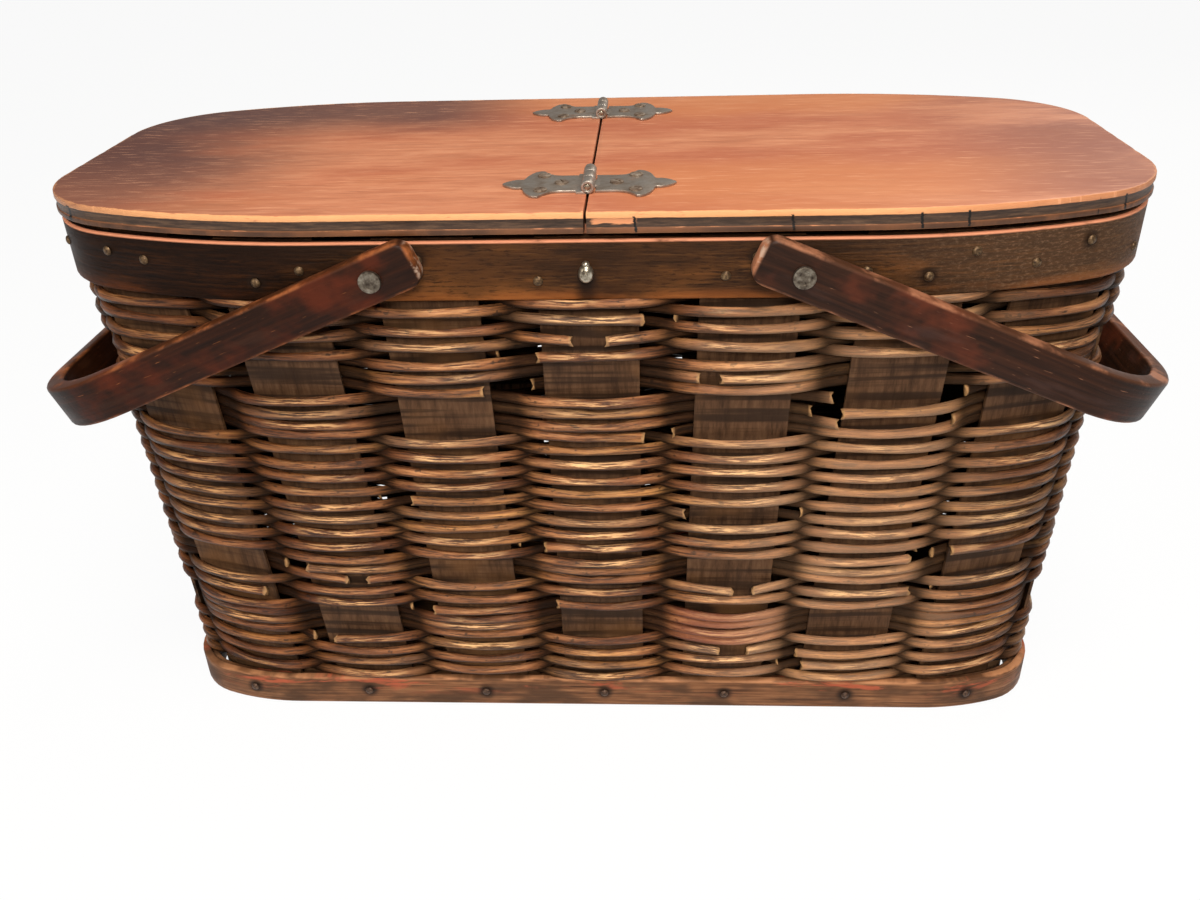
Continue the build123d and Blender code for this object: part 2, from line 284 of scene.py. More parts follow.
def ease_edges(piece, width, degrees, segments=2):
    """Round the edges that are sharper than an angle."""
    apply_modifier(
        piece, "BEVEL", width=width, segments=segments, limit_method="ANGLE",
        angle_limit=radians(degrees),
    )


def smooth(piece, degrees=40):
    """Smooth shading, but for edges sharper than an angle."""
    take(piece)
    bpy.ops.object.shade_smooth_by_angle(angle=radians(degrees))


def stain(piece, material):
    piece.data.materials.clear()
    piece.data.materials.append(material)


def dress(piece, material, body, slot, *nodes):
    """Give a piece its finish, its body and the CAD nodes that it stands for."""
    stain(piece, material)
    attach(piece, body)
    if nodes:
        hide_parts(*nodes)


def own_map(mesh, name):
    """A UV map of the piece's own, in place of the primitive's."""
    while mesh.uv_layers:
        mesh.uv_layers.remove(mesh.uv_layers[0])
    return mesh.uv_layers.new(name=name)


def measure_round(piece, path):
    """A UV map in metres: length along a closed path, and height. It starts at the rear."""
    line = np.array([point[:2] for point in path])
    steps = np.roll(line, -1, axis=0) - line
    reach = np.linalg.norm(steps, axis=1)
    total = reach.sum()
    before = np.concatenate(([0], np.cumsum(reach)[:-1]))
    mesh = piece.data
    places = np.array([corner.co for corner in mesh.vertices])
    apart = places[:, None, :2] - line[None, :, :]
    nearest = (apart ** 2).sum(2).argmin(1)
    fine = (apart[np.arange(len(places)), nearest] * steps[nearest]).sum(1) / reach[nearest]
    run = (before[nearest] + fine + total / 2) % total - total / 2
    layer = own_map(mesh, "strap")
    for face in mesh.polygons:
        first = run[mesh.loops[face.loop_start].vertex_index]
        for loop in face.loop_indices:
            corner = mesh.loops[loop].vertex_index
            ahead = (run[corner] - first + total / 2) % total - total / 2
            layer.data[loop].uv = (first + ahead, places[corner][2])


def bend_hoop(name, plan, outside, foot, height, thick, round_edge):
    """A hoop bent from a strap: a ring drawn to the plan, drawn up, thickened and eased."""
    hoop = begin(name, bpy.ops.mesh.primitive_circle_add, vertices=hoop_sides)
    for number, corner in enumerate(hoop.data.vertices):
        corner.co = hoop_point(plan, number / hoop_sides, outside)[0] + Vector((0, 0, foot))
    edit_all()
    draw_out(0, 0, height)
    turn_faces_out()
    apply_modifier(hoop, "SOLIDIFY", thickness=thick, offset=-1)
    ease_edges(hoop, round_edge, 50, segments=3)
    smooth(hoop, 45)
    measure_round(
        hoop, [hoop_point(plan, n / traced_points, outside)[0] for n in range(traced_points)]
    )
    return hoop


def minus(first, second):
    return sum_of("SUBTRACT", first, second)


def size_of(value):
    return sum_of("ABSOLUTE", value)


def fade(value, low, high, start=0.0, end=1.0):
    """A value carried smoothly from one range to another, and held at the ends."""
    return add_node(
        "MapRange", {"interpolation_type": "SMOOTHSTEP", "clamp": True},
        i0=value, i1=low, i2=high, i3=start, i4=end,
    ).outputs[0]


def paint(seen):
    """A colour as it is seen on screen, out of 255, made linear for a shader."""
    shares = [tone / 255 for tone in seen]
    return (*(c / 12.92 if c < 0.04045 else ((c + 0.055) / 1.055) ** 2.4 for c in shares), 1)


def blend(share, first, second, way="MIX"):
    """Two colours, mixed by a share."""
    return add_node(
        "Mix", {"data_type": "RGBA", "blend_type": way}, i0=share, i6=first, i7=second
    ).outputs[2]


def coats(colour, *layers):
    """A colour under others, each laid on by a share: as it is seen, as a node's, or as factors."""
    for share, over, *way in layers:
        if isinstance(over, tuple):
            over = (*over, 1) if way else paint(over)
        colour = blend(share, colour, over, *way)
    return colour


def place_of(kind="Object"):
    """Where on the piece a point lies, and its three numbers."""
    coordinates = add_node("TexCoord").outputs[kind]
    return coordinates, *add_node("SeparateXYZ", i0=coordinates).outputs


def noise(place, stretch, detail=3, rough=0.55, twist=0.0):
    """Cloudy pattern, stretched, from nought to one."""
    spread = add_node("VectorMath", {"operation": "MULTIPLY"}, i0=place, i1=stretch)
    return add_node(
        "TexNoise", Vector=spread.outputs[0], Scale=1, Detail=detail, Roughness=rough,
        Distortion=twist,
    ).outputs["Fac"]


def three_tones(value, dark, middle, light, places=(0.3, 0.5, 0.72), read=paint):
    """Three colours along a value."""
    ramp = add_node("ValToRGB", i0=value)
    stops = ramp.color_ramp.elements
    stops[0].position, stops[0].color = places[0], read(dark)
    stops[1].position, stops[1].color = places[2], read(light)
    stops.new(places[1]).color = read(middle)
    return ramp.outputs[0]


def finish_wood(colour, height, roughness, depth=0.0004, coat=0.0, gloss=0.4):
    """Wood under old varnish: its colour, how rough it is and its relief."""
    relief = add_node("Bump", Strength=1, Distance=depth, Height=height)
    shader = add_node(
        "BsdfPrincipled", Roughness=roughness, Normal=relief.outputs[0],
        **{
            "Base Color": colour, "Specular IOR Level": gloss, "Coat Weight": coat,
            "Coat Roughness": 0.32,
        },
    )
    add_node("OutputMaterial", Surface=shader.outputs[0])


def from_row(run, spacing, offset=0.0):
    """How far along a hoop a point is from the nearest of a row of places."""
    turn = plus(sum_of("DIVIDE", minus(run, offset), spacing), 0.5)
    return times(minus(sum_of("FRACT", turn), 0.5), spacing)


def from_nails(run, up, spacing, height, offset=0.0):
    """How far a point of a hoop is from its row of nails."""
    aside, over = from_row(run, spacing, offset), minus(up, height)
    return sum_of("SQRT", plus(times(aside, aside), times(over, over)))


splint_count = 18
base_nail_height = 0.010
base_run = hoop_point(base_plan, 0)[2]
base_band_paint = new_material("ash_hoop_with_old_red_paint")
place, run, up, _ = place_of("UV")
grain = noise(place, (22, 620, 1), 5, 0.6)
cloud = noise(place, (26, 60, 1), 3)
old_red = fade(noise(place, (17, 90, 1), 5, 0.7, 0.4), 0.52, 0.6, 0, 0.9)
worn = plus(fade(up, 0.0168, 0.0186), fade(up, 0.0014, 0.0004, 0, 0.5))
worn = times(worn, fade(noise(place, (60, 300, 1), 4), 0.38, 0.62))
near = from_nails(run, up, base_run / splint_count, base_nail_height)
colour = coats(
    three_tones(grain, (62, 38, 24), (118, 78, 51), (158, 112, 78)),
    (fade(cloud, 0.42, 0.62, 0, 0.85), (72, 50, 35)),
    (times(old_red, fade(up, 0.006, 0.017)), (168, 84, 58)),
    (worn, (176, 122, 84)),
    (fade(near, 0.0062, 0.0024, 0, 0.85), (24, 17, 12)),
)
finish_wood(colour, grain, fade(cloud, 0.3, 0.7, 0.42, 0.62), gloss=0.14)
base_hoop = bend_hoop("base_hoop", base_plan, 0, 0, base_band_height, band_thick, 0.0013)
dress(base_hoop, base_band_paint, "basket", "base_band_wood", "base_band")
base_liner = bend_hoop(
    "base_liner", base_plan, -band_thick - 0.0001, 0.001, base_band_height - 0.0032, 0.0032, 0.0006
)
dress(base_liner, base_band_paint, "basket", "base_band_wood")

# Base board: one thin board of pine, bare and dry, that closes the foot. It is let in between
# the feet of the splints and nailed through the base band
board_wood = new_material("dry_pine_board")
place = place_of()[0]
grain = noise(place, (9, 230, 40), 5, 0.6)
colour = coats(
    three_tones(grain, (72, 48, 30), (118, 84, 56), (142, 106, 74)),
    (fade(noise(place, (14, 14, 1)), 0.4, 0.7, 0, 0.5), (66, 50, 38)),
)
finish_wood(colour, grain, 0.7)
stain(frame["nodes"]["base_board"], board_wood)

# Nails: small brass tacks with domed heads. Those at the foot, one at each splint, have gone
# brown. The rim has one high and one low in turn, and more that were driven in later
tack_radius, tack_height = 0.0022, 0.0013
rim_plan = (0.253, 0.1075, 0.294, 0.054)
later_tacks = (
    (-3.5, 0.277), (-2.74, 0.2765), (-1.72, 0.2745), (-0.29, 0.269), (0.82, 0.2705),
    (1.64, 0.272), (2.27, 0.279), (2.66, 0.2715), (3.45, 0.2695),
)


def throw_away(piece):
    mesh = piece.data
    bpy.data.objects.remove(piece)
    bpy.data.meshes.remove(mesh)


def merged_copy(node, name):
    """A copy of a CAD node with its corners merged, left in edit mode."""
    copy = frame["nodes"][node].copy()
    copy.data = copy.data.copy()
    copy.parent = None
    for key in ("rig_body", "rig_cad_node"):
        if key in copy:
            del copy[key]
    bpy.context.scene.collection.objects.link(copy)
    copy.name = name
    take(copy)
    edit_all()
    bpy.ops.mesh.remove_doubles(threshold=0.00002)
    return copy


def loose_parts(node):
    """Middle and way out of each separate part of a node, from a copy of it."""
    merged_copy(node, "parts")
    bpy.ops.mesh.separate(type="LOOSE")
    leave_edit()
    found = []
    for part in list(bpy.context.selected_objects):
        places = [corner.co for corner in part.data.vertices]
        middle = sum(places, Vector()) / len(places)
        outward = Vector((0, 0, 0))
        for face in part.data.polygons:
            if face.normal.dot(Vector((middle.x * 0.3, middle.y, 0))) > 0:
                outward += face.normal * face.area ** 2
        outward.z = 0
        found.append((middle, outward.normalized()))
        throw_away(part)
    return found


def join(parts):
    """Make parts one piece, which keeps the first one's place and name."""
    start_fresh()
    for part in parts:
        part.select_set(True)
    bpy.context.view_layer.objects.active = parts[0]
    bpy.ops.object.join()
    return parts[0]


def copy_to(pattern, name, matrices):
    """Copies of one small part, each with its own mesh, joined as one piece."""
    copies = []
    for matrix in matrices:
        copy = pattern.copy()
        copy.data = pattern.data.copy()
        copy.data.transform(matrix)
        bpy.context.scene.collection.objects.link(copy)
        copies.append(copy)
    throw_away(pattern)
    piece = join(copies)
    piece.name = name
    return piece


def facing(place, outward):
    """Matrix that stands a part on a wall, its top turned outwards."""
    return Matrix.Translation(place) @ outward.to_track_quat("Z", "Y").to_matrix().to_4x4()


def domed_head():
    """The domed head of a tack: a ball cut in half and pressed flat."""
    add_ball = bpy.ops.mesh.primitive_uv_sphere_add
    head = begin("head", add_ball, segments=14, ring_count=10, radius=tack_radius)
    edit_all()
    bpy.ops.mesh.bisect(
        plane_co=(0, 0, 0), plane_no=(0, 0, 1), clear_inner=True, use_fill=True
    )
    bpy.ops.mesh.select_all(action="SELECT")
    bpy.ops.transform.resize(value=(1, 1, tack_height / tack_radius))
    leave_edit()
    smooth(head, 50)
    return head


def aged_metal(name, spot_scale, detail, rough, tones, metallic, roughness):
    """Dulled metal, in three tones that lie in small spots."""
    material = new_material(name)
    colour = three_tones(noise(place_of()[0], (spot_scale,) * 3, detail, rough), *tones)
    shader = add_node(
        "BsdfPrincipled", Metallic=metallic, Roughness=roughness, **{"Base Color": colour}
    )
    add_node("OutputMaterial", Surface=shader.outputs[0])
    return material


tack_brass = aged_metal(
    "tarnished_brass_tack", 900, 3, 0.55, ((48, 34, 22), (88, 66, 43), (128, 104, 74)), 0.65, 0.46
)
browned_tack = aged_metal(
    "browned_tack", 900, 3, 0.55, ((34, 22, 15), (72, 50, 36), (108, 82, 62)), 0.4, 0.5
)
for node, name, look in (
    ("base_nails", "base_tacks", browned_tack), ("rim_nails", "rim_tacks", tack_brass),
):
    spots = [facing(middle - outward * 0.0006, outward) for middle, outward in loose_parts(node)]
    dress(copy_to(domed_head(), name, spots), look, "basket", "nail_metal", node)
spots = []
for number, height in later_tacks:
    for half_turn in (0, splint_count // 2):
        point, outward, _ = hoop_point(rim_plan, (number + half_turn) / splint_count)
        spots.append(facing(point + Vector((0, 0, height)) - outward * 0.0004, outward))
dress(copy_to(domed_head(), "later_rim_tacks", spots), tack_brass, "basket", "nail_metal")

# Splints: eighteen flat strips of riven oak that stand between board and rim. They are dry and
# grey-brown, with the dents of the reed across them
splint_wood = new_material("dry_oak_splint")
place = place_of()[0]
grain = noise(place, (300, 300, 26), 5, 0.7)
press = noise(place, (9, 9, 230))
cloud = noise(place, (22, 22, 30))
roughness = fade(cloud, 0.3, 0.7, 0.5, 0.72)
colour = coats(
    three_tones(grain, (52, 35, 23), (82, 57, 39), (102, 74, 52)),
    (fade(press, 0.44, 0.6, 0, 0.85), (42, 29, 20)),
    (fade(cloud, 0.5, 0.7, 0, 0.5), (112, 76, 45)),
)
finish_wood(colour, plus(grain, times(press, 0.8)), roughness, gloss=0.1)
splints = [frame["nodes"][f"splint_{number:02d}"] for number in range(1, splint_count + 1)]
for splint in splints:
    stain(splint, splint_wood)

# Weave: round reed, shellacked brown, worked in rows over and under the splints. In most of
# the wall every other row changes sides, and in bands three or four rows keep to one side.
# A row follows the splints, so its line is worked out from where they stand
rim_foot = 0.260
splint_thick = 0.0016
reed_radius = 0.00218
row_groups = (
    ("ABABABA", 0.0047), ("BBBB", 0.0056), ("ABAB", 0.0044), ("AAA", 0.0060),
    ("BA" * 9, 0.0044), ("AAA", 0.0066), ("BBB", 0.0066), ("ABABABA", 0.0044),
)
reed_arch, end_reed_arch = 0.0060, 0.0046
straight_half = 0.014
reed_sides = 8
chance = np.random.default_rng(7)
# Where reed is broken: the height, and the splint numbers between which it is gone
broken_reeds = (
    (0.141, 0.70, 1.42), (0.0885, 1.08, 1.13), (0.0430, 1.02, 1.12), (0.217, 1.62, 2.40),
    (0.204, 1.50, 1.56), (0.198, 1.72, 2.36), (0.094, -2.62, -2.50), (0.0985, -2.40, -2.34),
    (0.097, 2.47, 2.56), (0.082, 2.45, 2.52), (0.0405, 1.46, 1.54), (0.206, 0.42, 0.50),
    (0.2065, -0.50, -0.42), (0.199, -0.62, -0.45), (0.2095, 0.74, 0.78), (0.233, -0.01, 0.02),
    (0.222, 0.40, 0.47), (0.076, -0.55, -0.44), (0.0815, -1.48, -1.40), (0.150, -1.52, -1.44),
    (0.062, -2.34, -2.28), (0.071, -1.92, -1.88), (0.0655, 1.52, 1.60), (0.0905, 2.40, 2.46),
    (0.104, -0.52, -0.47),
)


def splint_stand(splint):
    """Which way a splint faces, and where its face and middle are at foot and head."""
    mesh = splint.data
    places = np.array([corner.co for corner in mesh.vertices])
    normals = np.array([face.normal for face in mesh.polygons])
    areas = np.array([face.area for face in mesh.polygons])
    chosen = (areas > areas.max() * 0.25) & (normals[:, :2] @ places.mean(0)[:2] > 0)
    outward = (normals[chosen] * areas[chosen, None]).sum(0)[:2]
    outward /= np.linalg.norm(outward)
    along = np.array((-outward[1], outward[0]))
    ends = []
    for height in (base_band_height, rim_foot):
        level = places[np.abs(places[:, 2] - height) < 0.0003][:, :2]
        aside = level @ along
        ends.append(((level @ outward).max() - splint_thick / 2, (aside.min() + aside.max()) / 2))
    return outward, along, ends


stands = [splint_stand(splint) for splint in splints]


def row_line(height):
    """The middle line of the wall at a height: points, ways out, splint numbers, lengths."""
    share = (height - base_band_height) / (rim_foot - base_band_height)
    middles = []
    for outward, along, (low, high) in stands:
        out, aside = np.add(low, np.subtract(high, low) * share)
        middles.append(outward * out + along * aside)
    flat = np.arange(3)[:, None] * straight_half / 3
    t = np.arange(10)[:, None] / 10
    points, ways = [], []
    for number in range(splint_count):
        after = (number + 1) % splint_count
        out_here, along_here, _ = stands[number]
        out_after, along_after, _ = stands[after]
        leave = middles[number] + along_here * straight_half
        arrive = middles[after] - along_after * straight_half
        pull_here, pull_after = np.linalg.norm(arrive - leave) * np.array((along_here, along_after))
        bend = (
            (2 * t ** 3 - 3 * t ** 2 + 1) * leave + (t ** 3 - 2 * t ** 2 + t) * pull_here
            + (3 * t ** 2 - 2 * t ** 3) * arrive + (t ** 3 - t ** 2) * pull_after
        )
        slope = (
            (6 * t ** 2 - 6 * t) * (leave - arrive) + (3 * t ** 2 - 4 * t + 1) * pull_here
            + (3 * t ** 2 - 2 * t) * pull_after
        )
        slope /= np.linalg.norm(slope, axis=1)[:, None]
        points += [middles[number] + flat * along_here, bend, arrive + flat * along_after]
        ways += [np.tile(out_here, (3, 1)), slope[:, ::-1] * (1, -1), np.tile(out_after, (3, 1))]
    points, ways = np.concatenate(points), np.concatenate(ways)
    reach = np.linalg.norm(np.roll(points, -1, axis=0) - points, axis=1)
    steps = reach.reshape(splint_count, -1)
    before = np.cumsum(steps, axis=1) - steps
    numbers = (np.arange(splint_count)[:, None] + before / steps.sum(1)[:, None]).ravel()
    return points, ways, numbers, np.cumsum(reach) - reach, reach.sum()


def weave_row(row, height, letter, spacing):
    """One row of reed: where its middle runs, and what its material needs to know of it."""
    points, ways, numbers, run, total = row_line(height)
    beat = np.cos(pi * (numbers + (letter == "B")))
    arch = reed_arch + (end_reed_arch - reed_arch) * np.abs(ways[:, 0])
    shift = np.sign(beat) * np.abs(beat) ** 0.8 * arch
    tone = chance.uniform(0, 1)
    wander = 0.00045 * np.sin(numbers * 1.37 + row * 2.1) + 0.0003 * np.sin(numbers * 3.9 + row)
    wander += 0.0009 * np.cos(2 * pi * numbers / splint_count)
    red = np.zeros(len(run))
    if 0.05 < height < 0.075:
        red = np.exp(-((numbers - 1) / 0.42) ** 2)
        wander -= 0.0032 * red
    lumps = 1 + 0.05 * np.sin(run * 61 + row * 3) + 0.04 * np.sin(run * 173 + row)
    thick = reed_radius * lumps * chance.uniform(0.94, 1.06)
    pressed = np.minimum(1, 2.1 * (1 - np.abs(beat)))
    behind = np.exp(-((numbers - splint_count / 2) / 4.8) ** 4)
    tallest = np.maximum(min(spacing * 0.6, 0.0029), thick * 1.25) * (1 + 0.36 * behind)
    joint = np.argmin(np.abs(numbers - chance.integers(6, 12) - 0.5))
    return {
        "height": height, "over_even": letter == "A", "drop": chance.uniform(-1, 1), "break": None,
        "centres": np.column_stack((points + ways * shift[:, None], height + wander)),
        "ways": ways, "thick": thick, "tall": thick + (tallest - thick) * pressed,
        "numbers": numbers, "run": (run - run[joint]) % total, "total": total,
        "proud": shift / arch, "tone": np.full(len(run), tone), "red": red,
    }


def weave_piece(name, rows, node):
    """All the rows of one zone as one mesh, with a UV map along and round each reed."""
    corners, faces, uvs = [], [], []
    marks = {"proud": [], "tone": [], "red": [], "bare": []}
    turns = 2 * pi * np.arange(reed_sides) / reed_sides
    for row in rows:
        count = len(row["run"])
        kept = np.arange(count + 1) % count
        if row["break"]:
            start, stop = row["break"]
            numbers = (row["numbers"] - stop) % splint_count
            kept = np.argsort(numbers)
            kept = kept[numbers[kept] < (start - stop) % splint_count]
        rings = len(kept)
        middles = row["centres"][kept]
        torn, bare = np.zeros((rings, 3)), np.zeros(rings)
        if row["break"]:
            from_end = np.minimum(np.arange(rings), np.arange(rings)[::-1])
            loose = np.exp(-from_end / 1.6)
            bare[[0, -1]] = 1
            middles[:, :2] += row["ways"][kept] * 0.0022 * loose[:, None]
            middles[:, 2] += 0.0012 * loose * row["drop"]
            for ring, beside in ((0, 1), (rings - 1, rings - 2)):
                step = middles[ring] - middles[beside]
                middles[ring] = middles[beside] + 0.35 * step
                torn[ring] = 0.0009 * step / np.linalg.norm(step)
        last = rings if row["break"] else rings - 1
        ragged = torn[:, None] * np.sin(2.3 * turns + row["drop"] * 5)[None, :, None]
        around = middles[:, None] + ragged
        out = -np.cos(turns) * row["thick"][kept, None]
        around[..., :2] += row["ways"][kept, None] * out[..., None]
        around[..., 2] += np.sin(turns) * row["tall"][kept, None]
        first = len(corners)
        corners += around[:last].reshape(-1, 3).tolist()
        for mark, values in marks.items():
            value = bare if mark == "bare" else row[mark][kept]
            values += np.repeat(value[:last], reed_sides).tolist()
        for place in range(rings - 1):
            here = first + place * reed_sides
            there = first + (place + 1) % last * reed_sides
            run_here, run_there = row["run"][kept[place]], row["run"][kept[place + 1]]
            if run_there < run_here:
                run_there += row["total"]
            for side in range(reed_sides):
                beside = (side + 1) % reed_sides
                faces.append((here + side, here + beside, there + beside, there + side))
                low, high = side / reed_sides, (side + 1) / reed_sides
                uvs += [(run_here, low), (run_here, high), (run_there, high), (run_there, low)]
        if row["break"]:
            for ring, order in ((0, -1), (rings - 1, 1)):
                end = [first + ring * reed_sides + side for side in range(reed_sides)][::order]
                faces.append(tuple(end))
                uvs += [(0, 0)] * reed_sides
    mesh = bpy.data.meshes.new(name)
    mesh.from_pydata(corners, [], faces)
    layer = mesh.uv_layers.new(name="reed")
    layer.data.foreach_set("uv", np.array(uvs, dtype=np.float32).ravel())
    for mark, values in marks.items():
        mesh.attributes.new(mark, "FLOAT", "POINT").data.foreach_set("value", values)
    mesh.polygons.foreach_set("use_smooth", [True] * len(mesh.polygons))
    mesh.update()
    piece = bpy.data.objects.new(name, mesh)
    bpy.context.scene.collection.objects.link(piece)
    dress(piece, reed_varnish, "basket", "reed", node)


def mark_of(name):
    """What a piece keeps with each of its corners under a name."""
    return add_node("Attribute", {"attribute_name": name}).outputs["Fac"]


reed_varnish = new_material("shellacked_reed")
_, run, turn, _ = place_of("UV")
proud, tone = mark_of("proud"), mark_of("tone")
own = add_node("CombineXYZ", i0=run, i1=turn, i2=times(tone, 41)).outputs[0]
streaks = noise(own, (34, 5.5, 1), 5, 0.65)
fibres = noise(own, (70, 16, 1), 4, 0.7)
patches = noise(own, (9, 0.6, 1))
own_tone = three_tones(
    plus(times(tone, 0.4), times(noise(own, (13, 0.2, 1), 1), 0.9)),
    (0.46, 0.38, 0.35, 1), (0.85, 0.78, 0.74, 1), (1, 0.95, 0.7, 1), (0.42, 0.64, 0.86), tuple,
)
greyed = plus(times(tone, 0.5), times(patches, 0.8))
# Painted highlight along the upper front of each arch that stands proud, mixed with wear in patches
rub_and_highlight = times(
    fade(proud, 0.55, 1), fade(patches, 0.42, 0.62), fade(fibres, 0.52, 0.44),
    fade(size_of(minus(turn, 0.39)), 0.17, 0.07),
)
# Painted light and shade across the wall: darker towards the left end, a lighter band right of the
# middle, and cooler and darker at the right end
x = place_of()[1]
painted_light_band = times(fade(x, 0.04, 0.09), fade(x, 0.21, 0.16), 0.22)
colour = coats(
    three_tones(streaks, (66, 40, 24), (154, 101, 63), (220, 160, 108)),
    (1.0, own_tone, "MULTIPLY"),
    (fade(noise(own, (190, 4, 1), 2, 0.6), 0.64, 0.7, 0, 0.7), (34, 22, 15)),
    (fade(greyed, 0.62, 1.0, 0, 0.7), (112, 86, 66)),
    (fade(fibres, 0.5, 0.62, 0, 0.8), (46, 29, 19)),
    (times(rub_and_highlight, 0.95), (250, 198, 140)),
    # Painted shade on the lower half of each reed, under its front
    (fade(turn, 0.49, 0.64, 0, 0.85), (30, 19, 12)),
    (times(mark_of("red"), 0.6), (134, 62, 42)),
    # Painted shade at the left end, a painted band of light, and painted shade at the right end
    (fade(x, -0.06, -0.19), (0.66, 0.57, 0.48), "MULTIPLY"),
    (painted_light_band, (226, 178, 136)),
    (fade(x, 0.18, 0.24, 0, 0.9), (0.66, 0.7, 0.76), "MULTIPLY"),
    # Painted shade where the reed runs in behind the splints, darkest at the crossings
    (fade(proud, -0.1, 0.62, 0.88, 0), (22, 15, 10)),
    (mark_of("bare"), (168, 128, 86)),
)
finish_wood(
    colour, minus(streaks, times(fibres, 1.4)), fade(streaks, 0.3, 0.7, 0.32, 0.5), 0.0005,
    gloss=fade(proud, 0.1, 0.9, 0.03, 0.3),
)

height = base_band_height
rows = []
for pattern, spacing in row_groups:
    for letter in pattern:
        rows.append(weave_row(len(rows), height + spacing / 2, letter, spacing))
        height += spacing
for level, start, stop in broken_reeds:
    over_even = round((start + stop) / 2) % 2 == 0
    fit = [row for row in rows if row["over_even"] == over_even and not row["break"]]
    min(fit, key=lambda row: abs(row["height"] - level))["break"] = (start, stop)
zones = ("lower", "middle", "upper")
zone_height = (rim_foot - base_band_height) / len(zones)
for number, zone in enumerate(zones):
    low = base_band_height + number * zone_height
    mine = [row for row in rows if low <= row["height"] < low + zone_height]
    weave_piece(f"reed_rows_{zone}", mine, f"weave_{zone}")

# Rim bands: a broad outer hoop nailed over the heads of the splints and an inner one that
# stands higher and takes the lid. Bent ash, stained and varnished a golden brown
rim_height = 0.287
low_nails, high_nails = 0.269, 0.279
rim_run = hoop_point(rim_plan, 0)[2]
rim_varnish = new_material("golden_brown_ash_rim")
place, run, up, _ = place_of("UV")
grain = noise(place, (34, 620, 1), 6, 0.68)
flecks = noise(place, (130, 950, 1), 4, 0.7)
cloud = noise(place, (13, 34, 1), 4)
gold = fade(noise(place, (9, 26, 3), 4), 0.48, 0.62, 0, 0.45)
lit_foot = times(fade(up, 0.2665, 0.2606), fade(cloud, 0.6, 0.4), 0.5)
x = place_of()[1]
dust = fade(noise(place, (380, 900, 1), 5, 0.8), 0.48, 0.66, 0.12, 0.5)
worn = times(
    fade(up, 0.2856, 0.2864), fade(mark_of("inset"), 0.0018, 0.001),
    fade(noise(place, (45, 200, 1), 4), 0.25, 0.42),
)
apart = 2 * rim_run / splint_count
near = [from_nails(run, up, apart, *row) for row in ((low_nails, 0), (high_nails, apart / 2))]
drip = times(
    fade(size_of(from_row(run, rim_run)), 0.0066, 0.0008),
    fade(plus(up, times(grain, 0.004)), 0.2765, 0.2725), 0.75,
)
relief = minus(grain, times(flecks, 0.8))
colour = coats(
    three_tones(grain, (26, 15, 7), (56, 34, 17), (94, 59, 29)),
    (gold, (130, 79, 35)),
    (fade(flecks, 0.5, 0.63, 0, 0.75), (26, 16, 8)),
    (fade(cloud, 0.46, 0.68, 0, 0.6), (48, 29, 16)),
    # Painted shadow of the lid across the top of the band
    (fade(up, 0.272, 0.2862, 0, 0.5), (36, 22, 13)),
    (lit_foot, (156, 88, 40)),
    # Painted shade towards the left end
    (fade(x, -0.05, -0.16), (0.35, 0.27, 0.18), "MULTIPLY"),
    (times(dust, fade(x, 0.09, 0.19)), (132, 102, 77)),
    (worn, (214, 142, 108)),
    *((fade(gap, 0.0058, 0.0022, 0, 0.75), (30, 19, 12)) for gap in near),
    (drip, (26, 15, 9)),
)
finish_wood(colour, relief, fade(cloud, 0.3, 0.7, 0.42, 0.6), gloss=0.08)


def mark_inset(piece, outside):
    """Keep with each corner how far in it lies from the outline of the rim or the lid."""
    around = 2 * traced_points
    outline = np.array([hoop_point(rim_plan, n / around, outside)[0][:2] for n in range(around)])
    places = np.array([corner.co[:2] for corner in piece.data.vertices])
    gap = np.sqrt(((places[:, None] - outline[None]) ** 2).sum(2).min(1))
    piece.data.attributes.new("inset", "FLOAT", "POINT").data.foreach_set("value", gap.tolist())


inner_low, inner_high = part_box("rim_band_inner")
for name, outside, foot, head, thick, round_edge in (
    ("outer", 0, rim_foot, rim_height, band_thick, 0.0012),
    ("inner", inner_high.x - rim_plan[0], inner_low.z, inner_high.z, 0.004, 0.0008),
):
    hoop = bend_hoop(f"rim_{name}", rim_plan, outside, foot, head - foot, thick, round_edge)
    mark_inset(hoop, outside)
    dress(hoop, rim_varnish, "basket", "rim_wood", f"rim_band_{name}")


# Centre bar: a plain bar across the mouth under the seam of the lid, held at each end by a
# stud with a nickelled ball head
def plain_wood(name, stretch, tones, roughness, coat=0.0):
    """Bare or stained wood with its grain along one side."""
    material = new_material(name)
    grain = noise(place_of()[0], stretch, 5, 0.6)
    finish_wood(three_tones(grain, *tones), grain, roughness, 0.0003, coat)
    return material


bar_tones = ((58, 36, 22), (98, 64, 40), (126, 88, 56))
bar_wood = plain_wood("stained_bar", (300, 12, 300), bar_tones, 0.55, 0.1)
stain(frame["nodes"]["centre_bar"], bar_wood)
stud_nickel = aged_metal(
    "dulled_nickel", 700, 4, 0.55, ((92, 80, 64), (158, 148, 130), (196, 188, 172)), 0.9, 0.3
)
stud_low, stud_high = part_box("bar_studs")
stud_height = (stud_low.z + stud_high.z) / 2
stud_reach = stud_high.y - rim_plan[1] - 0.0004


def finish_place(piece):
    """Move a piece's place into its mesh."""
    take(piece)
    bpy.ops.object.transform_apply(location=True, rotation=True, scale=True)


